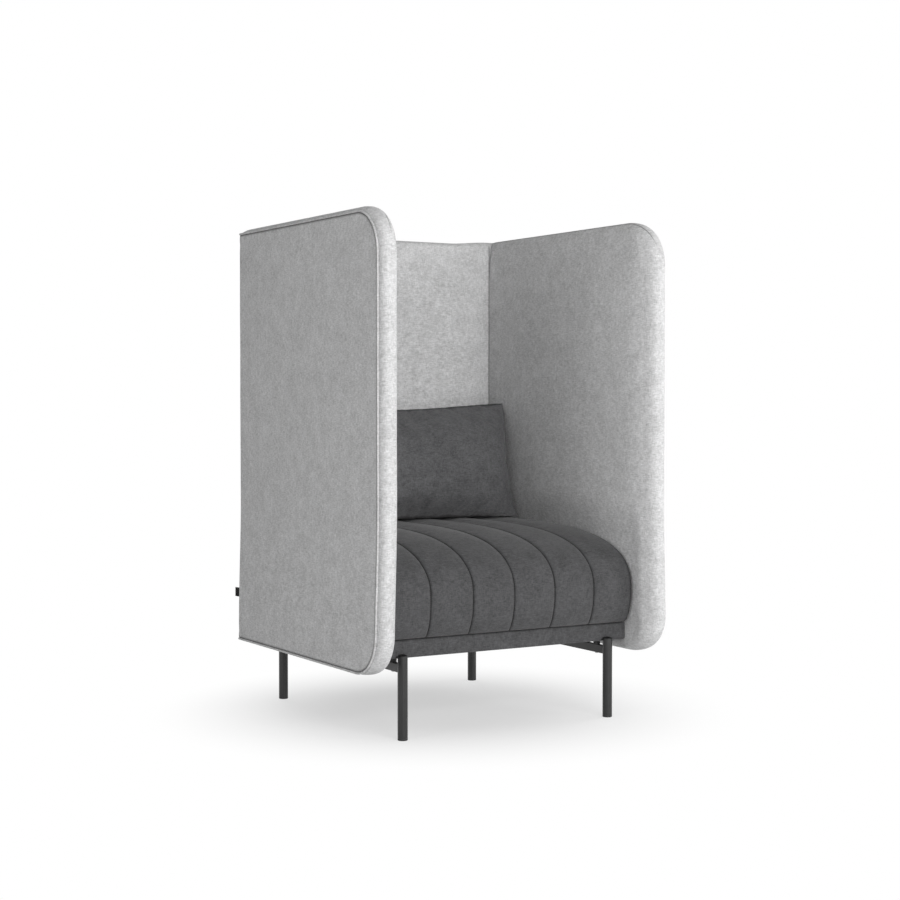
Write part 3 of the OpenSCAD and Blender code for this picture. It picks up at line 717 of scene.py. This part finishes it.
for n, (x, k, to_seam) in enumerate(columns):
    inner = 0 < k < strips
    high = seat_dome * (1 - (x / seat_half) ** 2) * step(profile[:, 1], 0.05, 0.23)
    puff = 1 - (1 - min(to_seam / (strip / 2), 1)) ** 2
    seam_deep, seam_reach, hollow = inner_seam if inner else rim_seam
    pull = seam_deep * math.exp(-to_seam / seam_reach) + hollow * (1 - puff)
    under = hem_deep * np.exp(-at / hem_reach)
    move = high - pull * step(at, -0.004, 0.03) - under
    wave = 0.0
    if inner:
        wave = np.array([noise((s / wander_pitch, k * 3.1, 4.0)) for s in at]) * wander
    rows.append(np.stack([x + wave + np.zeros(len(at)), profile[:, 0] + lift[:, 0] * move,
                          seat_base + profile[:, 1] + lift[:, 1] * move], 1))
    tone = float(np.interp(to_seam, near[:4], channel_seam_and_shade if inner else rim_painted_shade))
    # painted shade also at the front bottom, where the cover tucks under against the base band
    darks.append(np.maximum(tone * (to_seam < tone_reach),
                            np.interp(at, [0.0015, 0.004, 0.008], [1.0, 0.6, 0.0])))
    held += [n * len(at) + j for j in range(len(at)) if to_seam < 0.002 or j < 3
             or j == len(at) - 1]
rows = np.array(rows)
seat_seams = [rows[n, 4:-3] + lift[4:-3] @ np.array([[0, 1, 0], [0, 0, 1]]) * thread_lift
              for n, (x, k, to_seam) in enumerate(columns) if to_seam == 0 and 0 < k < strips]
skin = [rows.reshape(-1, 3)]
seat_faces = lattice(len(columns), len(at), flip=True)
first = len(skin[0])
for rim, flip in ((0, False), (len(columns) - 1, True)):
    floor_line = rows[rim].copy()
    floor_line[:, 2] = seat_base + 0.0005
    floor_line[:, 1] = np.maximum(floor_line[:, 1], rows[rim][0, 1])
    layers = np.array([rows[rim] + (floor_line - rows[rim]) * k / side_layers
                       for k in range(side_layers + 1)])
    skin.append(layers.reshape(-1, 3))
    seat_faces += lattice(side_layers + 1, len(at), first, flip=flip)
    held += range(first, first + layers.shape[0] * len(at))
    first += layers.shape[0] * len(at)
skin = np.concatenate(skin)
# the sides of the cushion, against the side panels, are painted dark as shade
seat_dark = np.full(len(skin), side_painted_shade)
seat_dark[:rows.shape[0] * rows.shape[1]] = np.array(darks).ravel()
seat_cover = make_piece("seat_cover", skin, seat_faces, dark_felt, seam=seat_dark)
spots = np.array([v.co for v in seat_cover.data.vertices])
keys = {tuple(np.round(p, 5)) for p in skin[held]}
held_now = [i for i, p in enumerate(spots) if tuple(np.round(p, 5)) in keys]
keep_shape(seat_cover, settle(seat_cover, held_now, 1.2, 0.002, 0.003, 15.0, 6.0))
refine(seat_cover)
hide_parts("seat_cushion")

# Back cushion: loose pillow of two rectangles of charcoal wool felt, sewn together round the rim
# and filled with feathers. It stands on the seat and leans on the back panel, which flattens its
# rear
pillow_half, pillow_low, pillow_high = 0.3483, 0.4925, 0.3095
across_n, up_n = 96, 54
rim_crowd = 0.90 * math.pi / 2
lean_z = [0.495, 0.515, 0.567, 0.653, 0.740, 0.810]
lean_y = [0.184, 0.202, 0.222, 0.241, 0.2500, 0.2530]
ends_up, ear_round, ear_forward, hem_up, waist = 0.0185, 0.003, 0.012, 0.004, 0.0060
front_bulk, rear_bulk = 0.090, 0.105
rear_stop, rear_soft, foot_stop, foot_soft = 0.3340, 0.0085, 0.5050, 0.0130
across_marks = np.sin(np.linspace(-1, 1, across_n) * rim_crowd) / math.sin(rim_crowd)
up_marks = np.sin(np.linspace(-1, 1, up_n) * rim_crowd) / math.sin(rim_crowd)
index, pillow_points, pillow_seam_and_shade, rim_held = {}, [], [], []
for face in (-1, 1):
    for i, across in enumerate(across_marks):
        for j, up in enumerate(up_marks):
            rim = i in (0, across_n - 1) or j in (0, up_n - 1)
            if rim and face > 0:
                index[face, i, j] = index[-1, i, j]
                continue
            index[face, i, j] = len(pillow_points)
            ear, corner = (abs(across) * (1 - up) / 2) ** 6, (abs(across) * (1 + up) / 2) ** 12
            top = pillow_high + ends_up * abs(across) ** 1.4 - ear_round * corner
            z = pillow_low + top * (up + 1) / 2
            z += hem_up * (1 - across * across) * max(-up, 0) ** 3 * (1 if rim else 0.6)
            lean = float(np.interp(z, lean_z, lean_y)) - ear_forward * ear
            full = (1 - abs(across) ** 3.6) ** 0.55
            if face < 0:
                bulk = front_bulk * full * ((1 + up) / 0.8) ** 0.56 * ((1 - up) / 1.2) ** 0.60
            else:
                bulk = rear_bulk * full * ((1 + up) / 1.1) ** 0.55 * ((1 - up) / 0.9) ** 0.45
            x = across * (pillow_half - waist * (1 - up * up) - ear_round * corner)
            pillow_points.append((x, lean + face * bulk, z))
            next_in = i in (1, across_n - 2) or j in (1, up_n - 2)
            # the rim and the row beside it are painted dark, the sewn seam with painted shade
            # along it; the lowest band of the front, where the pillow sits on the seat, is painted
            # contact shadow
            pillow_seam_and_shade.append(1.0 if rim else 0.6 if next_in else 0.35 if up < -0.985 else 0.0)
            if rim:
                rim_held.append(index[face, i, j])
pillow_faces = []
for face in (-1, 1):
    for i in range(across_n - 1):
        for j in range(up_n - 1):
            quad = (index[face, i, j], index[face, i + 1, j], index[face, i + 1, j + 1],
                    index[face, i, j + 1])
            pillow_faces.append(quad if face < 0 else quad[::-1])
# painted light: a lighter copy of the charcoal felt of the seat, for the brighter light on the
# pillow
pillow_felt_painted_light = wool("pillow_felt_painted_light", grey(0.053, 0.03), grey(0.157, 0.03), grey(0.010),
                   dark_contrast, 0.15, 0.0006, 0.6)
pillow = make_piece("back_pillow", pillow_points, pillow_faces, pillow_felt_painted_light,
                    body="back_cushion_body", seam=pillow_seam_and_shade, weld=False)
blown = np.array(pillow_points)
blown = settle(pillow, rim_held, 4.0, 0.035, 0.014, 20.0, 0.3)
over = blown[:, 1] - rear_stop
blown[:, 1] = np.where(over > 0, rear_stop + rear_soft * np.tanh(over / rear_soft), blown[:, 1])
under = foot_stop - blown[:, 2]
blown[:, 2] = np.where(under > 0, foot_stop - foot_soft * np.tanh(under / foot_soft), blown[:, 2])
keep_shape(pillow, blown)
refine(pillow)
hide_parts("back_cushion")

# Stitches: polyester thread in the channels of the seat and in the crest seams of the screen, set
# along the sewn lines by Geometry Nodes, one small rounded bead of thread for each stitch
def repeat_tree():
    """Node tree that sets one small shape at each pitch along the edges of a mesh."""
    tree = bpy.data.node_groups.new("set_along_line", "GeometryNodeTree")
    sockets = {}
    for label, kind, way in (("Line", "Geometry", "INPUT"), ("Pitch", "Float", "INPUT"),
                             ("Length", "Float", "INPUT"), ("Width", "Float", "INPUT"),
                             ("Finish", "Material", "INPUT"), ("Shapes", "Geometry", "OUTPUT")):
        socket = tree.interface.new_socket(label, in_out=way, socket_type="NodeSocket" + kind)
        sockets[label] = socket.identifier

    def add(kind, **settings):
        made = tree.nodes.new(kind)
        for key, value in settings.items():
            setattr(made, key, value)
        return made

    def join(a, out, b, into):
        tree.links.new(a.outputs[out], b.inputs[into])

    given, result = add("NodeGroupInput"), add("NodeGroupOutput")
    curve = add("GeometryNodeMeshToCurve")
    spots = add("GeometryNodeCurveToPoints", mode="LENGTH")
    turned = add("FunctionNodeAlignRotationToVector", axis="Z")
    bead = add("GeometryNodeMeshUVSphere")
    bead.inputs["Segments"].default_value, bead.inputs["Rings"].default_value = 6, 4
    bead.inputs["Radius"].default_value = 0.5
    size = add("ShaderNodeCombineXYZ")
    copies = add("GeometryNodeInstanceOnPoints")
    real = add("GeometryNodeRealizeInstances")
    finish = add("GeometryNodeSetMaterial")
    join(given, "Line", curve, "Mesh")
    join(curve, "Curve", spots, "Curve")
    join(given, "Pitch", spots, "Length")
    join(spots, "Tangent", turned, "Vector")
    join(given, "Width", size, "X")
    join(given, "Width", size, "Y")
    join(given, "Length", size, "Z")
    join(spots, "Points", copies, "Points")
    join(bead, "Mesh", copies, "Instance")
    join(turned, "Rotation", copies, "Rotation")
    join(size, "Vector", copies, "Scale")
    join(copies, "Instances", real, "Geometry")
    join(real, "Geometry", finish, "Geometry")
    join(given, "Finish", finish, "Material")
    join(finish, "Geometry", result, "Shapes")
    return tree, sockets


repeater, repeater_sockets = repeat_tree()


def set_along(name, lines, pitch, length, width, material):
    """Plain mesh piece of small shapes that follow lines of points, on the chair."""
    points, edges = [], []
    for line in lines:
        edges += [(len(points) + i, len(points) + i + 1) for i in range(len(line) - 1)]
        points += [tuple(map(float, p)) for p in line]
    path = bpy.data.meshes.new(name + "_path")
    path.from_pydata(points, edges, [])
    guide = bpy.data.objects.new(name + "_path", path)
    bpy.context.collection.objects.link(guide)
    rule = guide.modifiers.new("set_along_line", "NODES")
    rule.node_group = repeater
    for label, value in (("Pitch", pitch), ("Length", length), ("Width", width),
                         ("Finish", material)):
        rule[repeater_sockets[label]] = value
    graph = bpy.context.evaluated_depsgraph_get()
    mesh = bpy.data.meshes.new_from_object(guide.evaluated_get(graph))
    bpy.data.objects.remove(guide)
    mesh.name = name
    piece = bpy.data.objects.new(name, mesh)
    bpy.context.collection.objects.link(piece)
    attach(piece, "chair")
    return piece


def grained(name, dark, light, grain, settings, relief_depth, relief_strength, stretch=None):
    """Finish with one grain, given by its scale, detail and roughness, which makes its colour and
    its relief."""
    finish = Finish(name)
    speck = finish.speckle(finish.place(stretch), *grain)
    return finish.surface({"Base Color": finish.blend(speck, dark, light), **settings},
                          speck, relief_depth, relief_strength)


twist = (1500.0, 1.0, 0.5)
dark_thread = grained("dark_thread", grey(0.018), grey(0.045), twist, {"Roughness": 0.6},
                      0.0002, 0.5)
grey_thread = grained("grey_thread", grey(0.16), grey(0.30), twist, {"Roughness": 0.6},
                      0.0002, 0.5)
set_along("seat_stitches", seat_seams, 0.0048, 0.0038, 0.0010, dark_thread)
set_along("screen_stitches", crest_lines, 0.0044, 0.0034, 0.0008, grey_thread)

# Leg frames: on each side two round tube legs with domed caps and a flat bar, all of steel,
# welded and powder coated in satin black
coat = Finish("black_coat")
peel = coat.speckle(coat.place(), 900.0, 2.0, 0.5)
wear = coat.speckle(coat.place(), 60.0, 3.0, 0.6)
black_coat = coat.surface({"Base Color": coat.blend(wear, grey(0.004), grey(0.009)),
                           "Roughness": 0.32 + 0.10 * wear, "Specular IOR Level": 0.6},
                          peel, 0.0002, 0.35)


def coat_parts(material, *names):
    """Puts a finish on rigid parts of the model."""
    for name in names:
        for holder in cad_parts[name].material_slots:
            holder.material = material


coat_parts(black_coat, "leg_front_left", "leg_front_right", "leg_rear_left", "leg_rear_right",
           "leg_caps", "side_bar_left", "side_bar_right")

# Glides and spacers: moulded black plastic. The glides are pressed into the tubes and the spacers
# keep the bars off the seat base
black_plastic = grained("black_plastic", grey(0.012), grey(0.022), (1200.0, 2.0, 0.6),
                        {"Roughness": 0.55}, 0.0001, 0.4)
coat_parts(black_plastic, "glides", "spacers")

# Screws and bolts: zinc-plated steel. The screws hold the leg frames to the seat base, and the
# bolts hold the panels of the screen to each other and to the seat base
plated = Finish("zinc_plate")
brush = plated.speckle(plated.place(), 500.0, 3.0, 0.6)
zinc_plate = plated.surface({"Base Color": plated.blend(brush, grey(0.46), grey(0.60)),
                             "Metallic": 1.0, "Roughness": 0.30 + 0.15 * brush},
                            brush, 0.0001, 0.2)
coat_parts(zinc_plate, "frame_screws", "screen_bolts")

# Boards inside the screen and the seat: birch plywood, cut to shape. The foam is glued to them
# and the covers are stapled to them
birch_ply = grained("birch_ply", (0.52, 0.36, 0.20, 1), (0.74, 0.58, 0.38, 1), (4.0, 5.0, 0.6),
                    {"Roughness": 0.6}, 0.0003, 0.3, (30.0, 30.0, 3.0))
coat_parts(birch_ply, "side_core_left", "side_core_right", "back_core", "seat_deck")

# Dust cloth: thin black nonwoven under the seat, cut to lap the four rails, stretched and
# stapled to them from below; it hangs down a little between the staples and in the middle
black_lining = grained("black_lining", grey(0.006), grey(0.016), (900.0, 2.0, 0.6),
                       {"Roughness": 0.9, "Sheen Weight": 0.1}, 0.0004, 0.6)
cloth_low, cloth_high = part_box("dust_cloth")
cloth_across, cloth_along, cloth_z, sag_deep = 90, 80, 0.1974, 0.0030
pucker_deep, pucker_width, staple_pitch, staple_line = 0.0005, 0.012, 0.045, 0.016
middle_y, side_reach = 0.02, 0.24
cloth_rows = []
for x in np.linspace(cloth_low[0], cloth_high[0], cloth_across):
    for y in np.linspace(cloth_low[1], cloth_high[1], cloth_along):
        edge = min(x - cloth_low[0], cloth_high[0] - x, y - cloth_low[1], cloth_high[1] - y)
        sag = sag_deep * float(step(edge, 0.012, 0.22))
        beside = x if abs(y - middle_y) > side_reach else y
        pucker = pucker_deep * math.cos(2 * math.pi * beside / staple_pitch)
        pucker *= math.exp(-((edge - staple_line) / pucker_width) ** 2)
        cloth_rows.append((x, y, cloth_z - sag + pucker))
dust_sheet = make_piece("dust_sheet", cloth_rows, lattice(cloth_across, cloth_along, flip=True),
                        black_lining)
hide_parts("dust_cloth")

# Ribbon tag: a plain woven black ribbon without marks, folded double and sewn into the left rear
# seam by its two ends
ribbon = Finish("black_ribbon")
ribs = ribbon.node("ShaderNodeTexWave", {"wave_type": "BANDS", "bands_direction": "X"},
                   {"Vector": ribbon.place(), "Scale": 320.0, "Distortion": 0.4}, 1)
black_ribbon = ribbon.surface({"Base Color": ribbon.blend(ribs, grey(0.004), grey(0.012)),
                               "Roughness": 0.7, "Specular IOR Level": 0.2},
                              ribs, 0.0002, 0.6)
tag_low, tag_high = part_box("rear_tag")
tag_x, fold_r = (tag_low[0] + tag_high[0]) / 2, 0.0005
tag_end = tag_high[1] - fold_r - 0.0001
tag_long, tag_bent, tag_wave = 0.040, 0.0045, 0.0002
leaf_n, bend_n, tall_n = 14, 8, 10
fold = [(tag_x - fold_r, y) for y in np.linspace(tag_low[1], tag_end, leaf_n)]
fold += [(tag_x - fold_r * math.cos(a), tag_end + fold_r * math.sin(a))
         for a in np.linspace(0, math.pi, bend_n)[1:-1]]
fold += [(tag_x + fold_r, y) for y in np.linspace(tag_end, tag_low[1], leaf_n)]
tag_rows = [(x + tag_wave * math.sin(60 * z) - tag_bent * ((y - tag_low[1]) / tag_long) ** 2, y, z)
            for x, y in fold for z in np.linspace(tag_low[2], tag_high[2], tall_n)]
tag = make_piece("ribbon_tag", tag_rows, lattice(len(fold), tall_n, flip=True), black_ribbon)
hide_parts("rear_tag")
